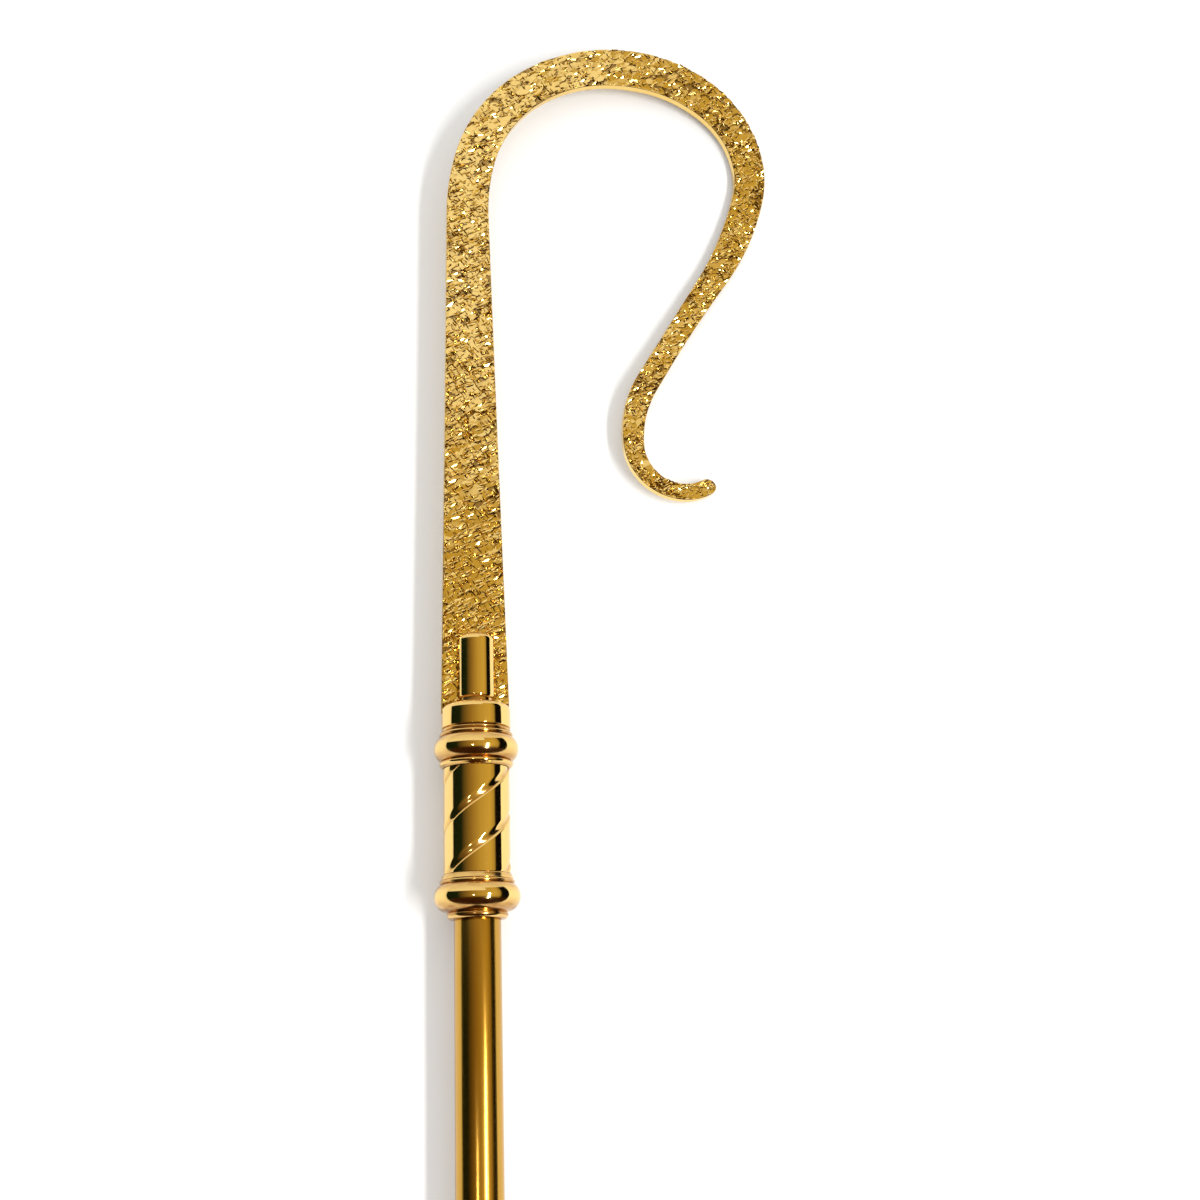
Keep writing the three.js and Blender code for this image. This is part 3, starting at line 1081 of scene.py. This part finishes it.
@dataclass
class ChiselWork:
    """The chisel work: flat flakes with ridges across them, standing on the bar's two faces."""

    crook: Crook
    chips: tuple[Chip, ...] = (
        Chip("Flake", 0.085, 9.0, 4.2, 0.42, 27.0, 14.0, 2.0, 6, 0.82, (1.0, 1.2, 0.9), 11),
        Chip("Ridge", 0.12, 6.0, 2.4, 0.90, 29.0, 12.0, 8.0, 6, 0.16, (1.0, 0.5, 0.5), 12),
        Chip("Cross", 0.12, 5.4, 1.7, 0.90, -57.0, 13.0, 8.0, 4, 0.14, (1.0, 0.5, 0.5), 13),
        Chip("Curl", 0.16, 4.0, 2.3, 0.75, 10.0, 90.0, 6.0, 5, 0.25, (0.2, 0.15, 1.1), 14),
    )
    calm: tuple[float, float] = (268.0, 330.0)
    falling: tuple[float, float] = (430.0, 500.0)
    back_share: float = 0.45
    facing_least: float = 0.95
    length_range: tuple[float, float] = (0.3, 0.72)
    width_range: tuple[float, float] = (0.34, 0.64)
    least_height: float = 0.72
    clean_above: float = 0.35
    back_seed: int = 50
    turn_seed: int = 100
    size_seed: int = 200

    def tree(self) -> ShapeTree:
        """The tree that strews the chips over both faces.

        Returns:
            The closed tree.
        """
        sizes = {
            "Front Relief": self.crook.relief,
            "Back Relief": self.crook.back_relief,
            "Back Share": self.back_share,
        }
        for chip in self.chips:
            for label in ("Density", "Length", "Width", "Height", "Slant", "Spread", "Lean"):
                sizes[f"{chip.name} {label}"] = getattr(chip, label.lower())
        tree = ShapeTree("chisel_work", sizes, self.crook.finish.value.made())
        given = tree.given
        bar = given["Geometry"]
        facing = tree.separate(tree.node("GeometryNodeInputNormal").outputs[0])[2]
        everything = [bar]
        for side, relief, share in ((1.0, "Front Relief", 1.0), (-1.0, "Back Relief", given["Back Share"])):
            chosen = tree.math("GREATER_THAN", tree.math("MULTIPLY", facing, side), self.facing_least)
            picked = {"Geometry": bar, "Selection": chosen}
            face = tree.node("GeometryNodeSeparateGeometry", picked, domain="FACE")
            for chip in self.chips:
                everything.append(self.strewn(tree, face.outputs[0], chip, side, given[relief], share))
        joined = tree.node("GeometryNodeJoinGeometry")
        for part in reversed(everything):
            tree.tree.links.new(part, joined.inputs[0])
        # The depth under the chip tops is stored as the mask of the painted shade in the cuts; the smooth sides
        # get none.
        stored = tree.node(
            "GeometryNodeStoreNamedAttribute",
            {"Geometry": joined.outputs[0], "Name": "cut_shade", "Value": self.cut_shade(tree)},
            data_type="FLOAT", domain="POINT",
        )
        tree.close(stored.outputs[0])
        return tree

    def cut_shade(self, tree: ShapeTree) -> bpy.types.NodeSocket:
        """How deep a point lies under the tops of the chips, used as the mask of the painted shade in the cuts.

        Args:
            tree: The tree that the nodes go into.

        Returns:
            A number from 0 at the tops to 1 on the bare face.
        """
        level = tree.separate(tree.node("GeometryNodeInputPosition").outputs[0])[2]
        top = self.crook.thickness / 2
        front = tree.ramp(level, top - self.crook.relief, top - self.clean_above * self.crook.relief, 1.0, 0.0)
        back = tree.ramp(level, self.crook.back_relief - top, -top, 1.0, 0.0)
        on_side = self.carried(tree, "polished")
        either = {"Switch": tree.math("GREATER_THAN", level, 0.0), "False": back, "True": front}
        lowest = tree.node("GeometryNodeSwitch", either, input_type="FLOAT").outputs[0]
        return tree.math("MULTIPLY", lowest, tree.math("SUBTRACT", 1.0, on_side))

    def carried(self, tree: ShapeTree, name: str) -> bpy.types.NodeSocket:
        """A number that the bar's points carry."""
        return tree.node("GeometryNodeInputNamedAttribute", {"Name": name}, data_type="FLOAT").outputs[0]

    def density(self, tree: ShapeTree, chip: Chip, share: Any) -> bpy.types.NodeSocket:
        """How closely chips of a kind stand, by the distance along the bar.

        Args:
            tree: The tree that the nodes go into.
            chip: The kind of chip.
            share: How many of them the face gets.

        Returns:
            The number on each square millimetre.
        """
        along = self.carried(tree, "along")
        leg, rising, falling = chip.shares
        first = tree.ramp(along, *self.calm, leg, rising, smooth=True)
        second = tree.ramp(along, *self.falling, 0.0, falling - rising, smooth=True)
        regional = tree.math("ADD", first, second)
        on_face = tree.math("MULTIPLY", regional, share)
        return tree.math("MULTIPLY", on_face, tree.given[f"{chip.name} Density"])

    def strewn(
        self, tree: ShapeTree, face: Any, chip: Chip, side: float, relief: Any, share: Any
    ) -> bpy.types.NodeSocket:
        """Strews one kind of chip over one face of the bar and trims it to the face's outline.

        Args:
            tree: The tree that the nodes go into.
            face: The bare face.
            chip: The kind of chip.
            side: 1 for the front and -1 for the back.
            relief: How far the tallest chips may rise.
            share: How many of the chips the face gets.

        Returns:
            The chips as real faces.
        """
        labels = ("Length", "Width", "Height", "Slant", "Spread", "Lean")
        size = {label: tree.given[f"{chip.name} {label}"] for label in labels}
        seed = chip.seed + (0 if side > 0 else self.back_seed)
        spots = tree.node(
            "GeometryNodeDistributePointsOnFaces",
            {"Mesh": face, "Density": self.density(tree, chip, share), "Seed": seed},
            distribute_method="RANDOM",
        )
        shape = tree.node(
            "GeometryNodeMeshCone",
            {"Vertices": chip.sides, "Radius Top": chip.crown, "Radius Bottom": 1.0, "Depth": 1.0},
        )
        slant, spread, lean = (tree.math("RADIANS", size[label]) for label in ("Slant", "Spread", "Lean"))
        over = 0.0 if side > 0 else math.pi
        least_turn = tree.combine(
            tree.math("SUBTRACT", over, lean),
            tree.math("MULTIPLY", lean, -1.0),
            tree.math("SUBTRACT", slant, spread),
        )
        most_turn = tree.combine(tree.math("ADD", over, lean), lean, tree.math("ADD", slant, spread))
        turned = self.chance(tree, least_turn, most_turn, seed + self.turn_seed)
        tall = tree.math("MULTIPLY", size["Height"], tree.math("DIVIDE", relief, self.crook.relief))
        least_size, most_size = (
            tree.combine(
                tree.math("MULTIPLY", size["Length"], self.length_range[end]),
                tree.math("MULTIPLY", size["Width"], self.width_range[end]),
                tree.math("MULTIPLY", tall, height),
            )
            for end, height in ((0, self.least_height), (1, 1.0))
        )
        scale = self.chance(tree, least_size, most_size, seed + self.size_seed)
        strewn = tree.node(
            "GeometryNodeInstanceOnPoints",
            {
                "Points": spots.outputs["Points"],
                "Instance": shape.outputs["Mesh"],
                "Rotation": turned,
                "Scale": scale,
            },
        )
        real = tree.node("GeometryNodeRealizeInstances", {"Geometry": strewn.outputs[0]})
        return self.trimmed(tree, real.outputs[0], face, side)

    def chance(self, tree: ShapeTree, least: Any, most: Any, seed: int) -> bpy.types.NodeSocket:
        """A random vector for each point, between two others."""
        sizes = {"Min": least, "Max": most, "Seed": seed}
        return tree.node("FunctionNodeRandomValue", sizes, data_type="FLOAT_VECTOR").outputs[0]

    def trimmed(self, tree: ShapeTree, chips: Any, face: Any, side: float) -> bpy.types.NodeSocket:
        """Pulls whatever hangs over the face's outline back to it, and holds the tops inside the bar.

        Args:
            tree: The tree that the nodes go into.
            chips: The chips as real faces.
            face: The bare face that they stand on.
            side: 1 for the front and -1 for the back.

        Returns:
            The chips inside the bar.
        """
        near = tree.node("GeometryNodeProximity", {"Geometry": face}, target_element="FACES")
        x, y, _ = tree.separate(near.outputs["Position"])
        height = tree.separate(tree.node("GeometryNodeInputPosition").outputs[0])[2]
        top = self.crook.thickness / 2
        held = tree.math("MINIMUM", height, top) if side > 0 else tree.math("MAXIMUM", height, -top)
        moved = {"Geometry": chips, "Position": tree.combine(x, y, held)}
        return tree.node("GeometryNodeSetPosition", moved).outputs[0]


# ---- Studio ----


@dataclass(frozen=True)
class Softbox:
    """A soft lamp: where it stands, its two sides and how bright it is."""

    name: str
    place: Vector
    target: Vector
    width: float
    length: float
    power: float

    def build(self) -> bpy.types.Object:
        """Hangs the lamp facing its target."""
        lamp = bpy.data.lights.new(self.name, "AREA")
        lamp.shape = "RECTANGLE"
        lamp.size, lamp.size_y = self.width, self.length
        lamp.energy = self.power
        holder = bpy.data.objects.new(self.name, lamp)
        back = (self.place - self.target).normalized()
        across = Vector((0.0, 1.0, 0.0)).cross(back).normalized()
        turn = Matrix((across, back.cross(across), back)).transposed().to_4x4()
        holder.matrix_world = Matrix.Translation(self.place) @ turn
        bpy.context.scene.collection.objects.link(holder)
        return holder


@dataclass(frozen=True)
class Stop:
    """One colour of the studio's sweep from the left horizon over the top to the right one."""

    angle: float
    colour: Colour


@dataclass
class Studio:
    """A pale floor, a plain bright surround, and the cards and dark walls that polished metal mirrors."""

    floor_size: float = 9.0
    surround: float = 0.9
    card: Colour = (1.06, 1.04, 1.0)
    card_foot: float = 22.0
    notch_side: float = 22.0
    notch_top: float = 42.0
    sweep: tuple[Stop, ...] = (
        Stop(-95.0, (0.006, 0.012, 0.005)),
        Stop(-56.0, (0.012, 0.022, 0.010)),
        Stop(-50.0, (0.06, 0.05, 0.022)),
        Stop(-20.0, (0.33, 0.22, 0.06)),
        Stop(10.0, (0.56, 0.42, 0.12)),
        Stop(45.0, (0.68, 0.52, 0.15)),
        Stop(60.0, (0.48, 0.36, 0.11)),
        Stop(66.0, (0.006, 0.005, 0.004)),
        Stop(95.0, (0.004, 0.004, 0.004)),
    )
    foot_wall: Colour = (0.05, 0.018, 0.006)

    def world(self) -> None:
        """Paints the surround, which only glossy rays see as cards and dark walls."""
        world = bpy.data.worlds.new("studio")
        bpy.context.scene.world = world
        world.use_nodes = True
        world.cycles.sampling_method = "NONE"
        world.node_tree.nodes.clear()
        wiring = Wiring(world.node_tree)
        facing = wiring.node("ShaderNodeTexCoord").outputs["Generated"]
        x, y, z = wiring.separate(facing)
        side = wiring.math("MULTIPLY", wiring.math("ARCTAN2", x, z), 180 / math.pi)
        rise = wiring.math("MULTIPLY", wiring.math("ARCSINE", y), 180 / math.pi)
        swept = self.swept(wiring, side)
        foot = wiring.ramp(rise, -14.0, -34.0, 0.0, 1.0, smooth=True)
        dark = wiring.blend(foot, swept, self.foot_wall)
        above = wiring.ramp(rise, self.card_foot - 2.5, self.card_foot + 2.5, smooth=True)
        beside = wiring.ramp(side, self.notch_side - 3.0, self.notch_side + 3.0, 1.0, 0.0, smooth=True)
        over = wiring.ramp(rise, self.notch_top - 2.0, self.notch_top + 2.0, smooth=True)
        lit = wiring.math("MULTIPLY", above, wiring.math("MAXIMUM", beside, over))
        mirrored = wiring.node("ShaderNodeBackground", {"Color": wiring.blend(lit, dark, self.card)})
        white = {"Color": (1.0, 1.0, 1.0, 1.0), "Strength": self.surround}
        plain = wiring.node("ShaderNodeBackground", white)
        glossy = wiring.node("ShaderNodeLightPath").outputs["Is Glossy Ray"]
        mixed = wiring.node("ShaderNodeMixShader", {"Fac": glossy})
        wiring.feed(mixed.inputs[1], plain.outputs[0])
        wiring.feed(mixed.inputs[2], mirrored.outputs[0])
        wiring.node("ShaderNodeOutputWorld", {"Surface": mixed.outputs[0]})

    def swept(self, wiring: Wiring, side: bpy.types.NodeSocket) -> bpy.types.NodeSocket:
        """The colours of the sweep at an angle from overhead."""
        ramp = wiring.node("ShaderNodeValToRGB", {"Fac": wiring.ramp(side, -100.0, 100.0)})
        elements = ramp.color_ramp.elements
        for stop, number in zip(self.sweep, range(len(self.sweep))):
            element = elements[number] if number < 2 else elements.new(1.0)
            element.position = (stop.angle + 100.0) / 200.0
            element.color = (*stop.colour, 1.0)
        return ramp.outputs[0]

    def floor(self) -> bpy.types.Object:
        """Lays the floor that the crosier rests on."""
        half = self.floor_size / 2
        corners = np.array([(-half, -half, 0.0), (half, -half, 0.0), (half, half, 0.0), (-half, half, 0.0)])
        mesh = mesh_of("floor", corners, [(0, 1, 2, 3)])
        pale = PaleFloor("pale_floor", (0.9, 0.9, 0.895), (0.885, 0.885, 0.88), (0.5, 0.5, 0.5), 0.9)
        mesh.materials.append(pale.build())
        floor = bpy.data.objects.new("floor", mesh)
        bpy.context.scene.collection.objects.link(floor)
        return floor

    def lamps(self, pose: RestingPose) -> None:
        """Hangs a long key lamp at the right of the foot and a small one near the middle."""
        head = pose.matrix() @ Vector((0.0, 40.0, 0.0))
        key = head + Vector((0.72, -0.42, 1.25))
        spark = head + Vector((-0.28, -0.30, 1.38))
        Softbox("key_lamp", key, head, 0.13, 0.95, 15.0).build()
        Softbox("small_lamp", spark, head, 0.08, 0.12, 0.8).build()


@dataclass(frozen=True)
class Viewpoint:
    """The camera: where it stands in the staff's frame, in millimetres, and how it is turned.

    Its place, turns and lens were fitted by a separate program.
    """

    place: tuple[float, float, float] = (-112.486, -69.211, 724.901)
    pitch: float = -0.29076195
    pan: float = 0.23730161
    tilt: float = 0.03243941
    lens: float = 46.908
    film: float = 36.0

    def build(self, pose: RestingPose) -> bpy.types.Object:
        """Sets the camera up over the lying staff."""
        camera = bpy.data.cameras.new("camera")
        camera.lens, camera.sensor_width, camera.sensor_height = self.lens, self.film, self.film
        camera.clip_start, camera.clip_end = 0.01, 50.0
        turn = (
            Matrix.Rotation(self.tilt, 3, "Z")
            @ Matrix.Rotation(self.pitch, 3, "X")
            @ Matrix.Rotation(self.pan, 3, "Y")
        )
        holder = bpy.data.objects.new("camera", camera)
        facing = pose.rotation().to_3x3() @ turn.transposed()
        holder.matrix_world = Matrix.Translation(pose.matrix() @ Vector(self.place)) @ facing.to_4x4()
        bpy.context.scene.collection.objects.link(holder)
        bpy.context.scene.camera = holder
        return holder


# ---- Assembly ----


def resting_pose(crook: Crook, knop: LowerKnop, ferrule: FootFerrule, pole: Pole) -> RestingPose:
    """Works out how the staff lies from the three things that touch the floor.

    Args:
        crook: The crook, which lies on the lower corner of its outer edge.
        knop: The knop, which lies on its bead.
        ferrule: The ferrule, which lies on its ring.
        pole: The pole, whose place in the frame fixes the staff's.

    Returns:
        The pose.
    """
    foot_radius, foot_height = ferrule.radius + ferrule.step, ferrule.mouth - ferrule.ring
    tip = math.atan((knop.bead.radius - foot_radius) / (knop.bead.height - foot_height))
    edge_x, edge_y = crook.edge_reach()
    axis_height = knop.bead.radius + (edge_y - knop.bead.height) * math.tan(tip)
    reach, half = edge_x - crook.chamfer, crook.thickness / 2
    roll = math.asin(axis_height / math.hypot(reach, half)) - math.atan2(half, reach)
    low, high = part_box("pole")
    turned = RestingPose(tip, roll, Vector())
    middle = turned.matrix() @ Vector((0.0, (pole.foot + pole.head) / 2, 0.0))
    return RestingPose(tip, roll, (low + high) / 2 - middle)


def main() -> None:
    """Builds the finishes, the studio and the crosier's pieces."""
    logging.basicConfig(level=logging.INFO, format="%(name)s: %(message)s")
    bpy.context.scene.view_settings.view_transform = "Standard"
    for gilding in Gilding:
        gilding.value.build()
    pole, ferrule, knop = Pole(), FootFerrule(), LowerKnop()
    grip, socket, crook = TwistedGrip(), CrookSocket(), Crook()
    pose = resting_pose(crook, knop, ferrule, pole)
    tip, roll = math.degrees(pose.tip), math.degrees(pose.roll)
    log.info("the staff lies tipped by %.3f and rolled by %.3f degrees", tip, roll)
    Viewpoint().build(pose)
    studio = Studio()
    studio.world()
    studio.floor()
    studio.lamps(pose)
    for piece in (pole, ferrule, knop, grip, socket, crook):
        piece.build(pose)


if __name__ == "__main__":
    main()
